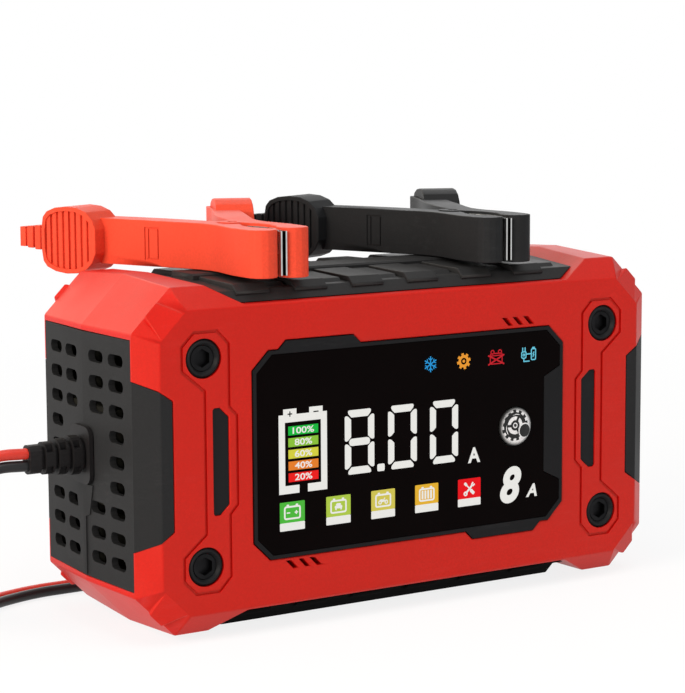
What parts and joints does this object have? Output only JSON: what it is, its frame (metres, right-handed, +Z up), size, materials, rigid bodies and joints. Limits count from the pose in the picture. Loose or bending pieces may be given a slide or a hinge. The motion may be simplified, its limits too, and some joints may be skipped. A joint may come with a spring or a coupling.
{
  "type": "car battery charger",
  "caption": "Car battery charger: armoured plastic housing with a display, press button and cooling fan, and spring clamps on flexible leads.",
  "frame": {"origin": "middle of the base, on the surface the charger stands on", "axes": "+X along the housing towards the mains gland, +Y towards the rear, +Z up; the display faces -Y"},
  "size_m": [0.2325, 0.1113, 0.1168],
  "materials": {
    "red_housing": "fine satin moulding texture",
    "black_armour": "satin moulding",
    "grey_panel": "fine grained moulding",
    "black_screw": "black coating",
    "black_bezel": "satin moulding",
    "dark_window": "polished smoked sheet",
    "circuit_board": "solder mask",
    "light_guide": "diffusing",
    "switch_grey": "moulded",
    "button_silver": "satin silver",
    "black_rubber": "soft moulded",
    "bright_steel": "plated",
    "ferrite": "sintered",
    "winding_tape": "wound tape",
    "capacitor_sleeve": "shrink sleeve",
    "capacitor_blue": "shrink sleeve",
    "copper_wire": "enamelled copper",
    "bare_aluminium": "extruded",
    "device_black": "moulded",
    "fuse_body": "ceramic-like",
    "relay_blue": "moulded case",
    "clamp_red": "satin moulding",
    "clamp_black": "satin moulding",
    "lead_red": "smooth sheath",
    "lead_black": "smooth sheath"
  },
  "bodies": {
    "charger": {"front_shell": "red_housing", "rear_shell": "red_housing", "top_armour": "black_armour", "base_armour": "black_armour", "left_end_panel": "grey_panel", "right_end_panel": "grey_panel", "slot_inserts": "black_armour", "screw_collars": "black_armour", "housing_screws": "black_screw", "display_bezel": "black_bezel", "display_window": "dark_window", "display_board": "circuit_board", "display_segments": "light_guide", "mode_switch": "switch_grey", "strain_relief": "black_rubber", "mains_gland": "black_rubber", "main_board": "circuit_board", "board_screws": "bright_steel", "transformer_core": "ferrite", "transformer_winding": "winding_tape", "input_capacitor": "capacitor_sleeve", "output_capacitors": "capacitor_blue", "choke": "copper_wire", "heat_sink": "bare_aluminium", "power_transistors": "device_black", "fuse_holder": "fuse_body", "relay": "relay_blue", "fan_frame": "device_black", "red_lead_handle": "clamp_red", "red_lead_jaw_strip": "bright_steel", "red_pivot_pin": "bright_steel", "red_clamp_spring": "bright_steel", "black_lead_handle": "clamp_black", "black_lead_jaw_strip": "bright_steel", "black_pivot_pin": "bright_steel", "black_clamp_spring": "bright_steel", "red_lead": "lead_red", "black_lead": "lead_black"},
    "mode_button": {"mode_button": "button_silver"},
    "fan_rotor": {"fan_rotor": "device_black"},
    "red_squeeze_half": {"red_squeeze_handle": "clamp_red", "red_squeeze_jaw_strip": "bright_steel"},
    "black_squeeze_half": {"black_squeeze_handle": "clamp_black", "black_squeeze_jaw_strip": "bright_steel"}
  },
  "joints": [
    {"name": "button_press", "type": "slide", "parent": "charger", "child": "mode_button", "axis": [0, 1, 0], "range_m": [0, 0.0006], "stiffness_N_per_m": 1500, "springref_m": -0.001},
    {"name": "fan_spin", "type": "hinge", "parent": "charger", "child": "fan_rotor", "pos_m": [0.0645, 0, 0.0505], "axis": [1, 0, 0], "continuous": true},
    {"name": "red_clamp_squeeze", "type": "hinge", "parent": "charger", "child": "red_squeeze_half", "pos_m": [-0.043, -0.003, 0.1068], "axis": [0, 0, -1], "range_deg": [0, 26], "stiffness_Nm_per_rad": 1.5, "springref_deg": -28.65},
    {"name": "black_clamp_squeeze", "type": "hinge", "parent": "charger", "child": "black_squeeze_half", "pos_m": [0.034, -0.003, 0.1068], "axis": [0, 0, -1], "range_deg": [0, 26], "stiffness_Nm_per_rad": 1.5, "springref_deg": -28.65}
  ]
}
